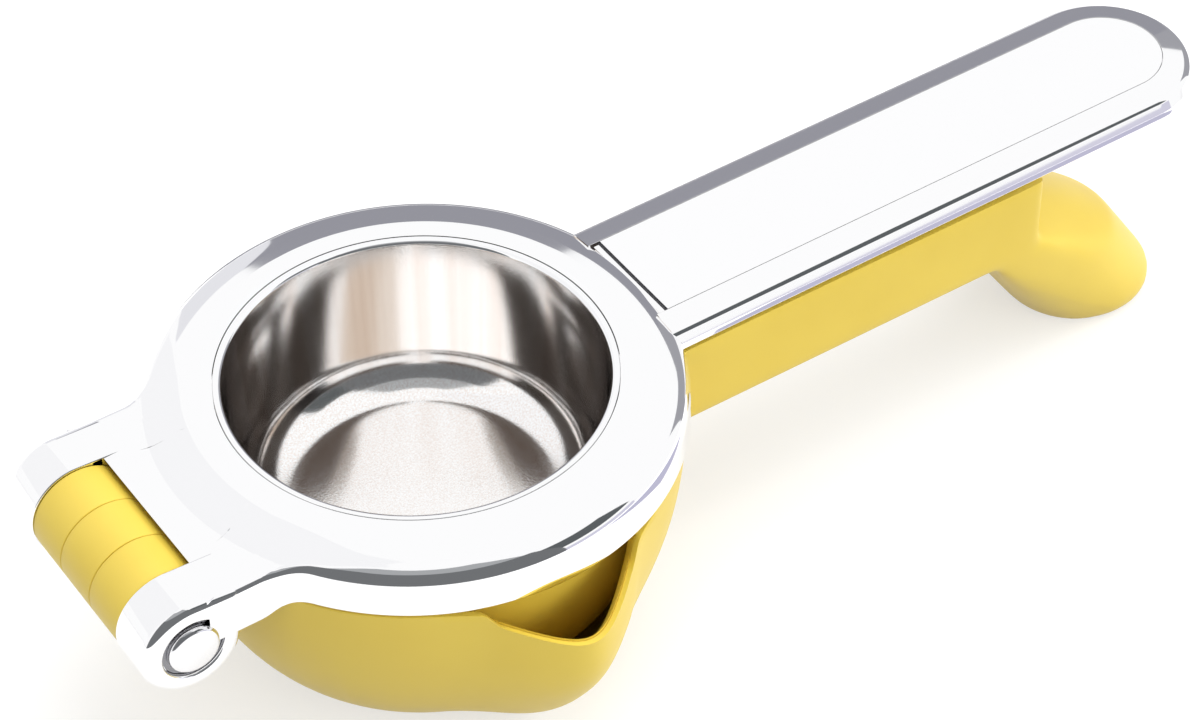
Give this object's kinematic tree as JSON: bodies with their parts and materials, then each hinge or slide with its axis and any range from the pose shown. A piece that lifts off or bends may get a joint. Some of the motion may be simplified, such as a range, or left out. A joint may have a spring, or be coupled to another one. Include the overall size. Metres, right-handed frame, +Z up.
{
  "type": "lemon squeezer",
  "caption": "Hinged hand squeezer: a chromed upper lever presses a drawn cup into a bowl with strainer and pouring spouts.",
  "frame": {"origin": "middle of the bowl's foot, on the table", "axes": "+X from the bowl to the handle ends, +Z up, Y along the hinge pin"},
  "size_m": [0.2122, 0.0954, 0.0482],
  "materials": {
    "upper_arm": "polished chrome plating on a casting",
    "handle_plate": "polished face plate",
    "press_cup": "polished drawn stainless steel",
    "lower_arm": "satin moulded plastic, yellow",
    "seed_strainer": "satin moulded plastic, yellow",
    "hinge_pin": "polished steel",
    "pin_cap": "polished steel",
    "front_spacer": "satin moulded plastic, yellow",
    "rear_spacer": "satin moulded plastic, yellow",
    "front_washer": "brushed steel",
    "rear_washer": "brushed steel"
  },
  "bodies": {
    "lower": {"lower_arm": "lower_arm", "seed_strainer": "seed_strainer", "front_spacer": "front_spacer", "rear_spacer": "rear_spacer"},
    "upper": {"upper_arm": "upper_arm", "handle_plate": "handle_plate", "press_cup": "press_cup", "hinge_pin": "hinge_pin", "pin_cap": "pin_cap", "front_washer": "front_washer", "rear_washer": "rear_washer"}
  },
  "joints": [
    {"name": "arm_hinge", "type": "hinge", "parent": "lower", "child": "upper", "pos_m": [-0.0524, 0, 0.0378], "axis": [0, -1, 0], "range_deg": [0, 135]}
  ]
}
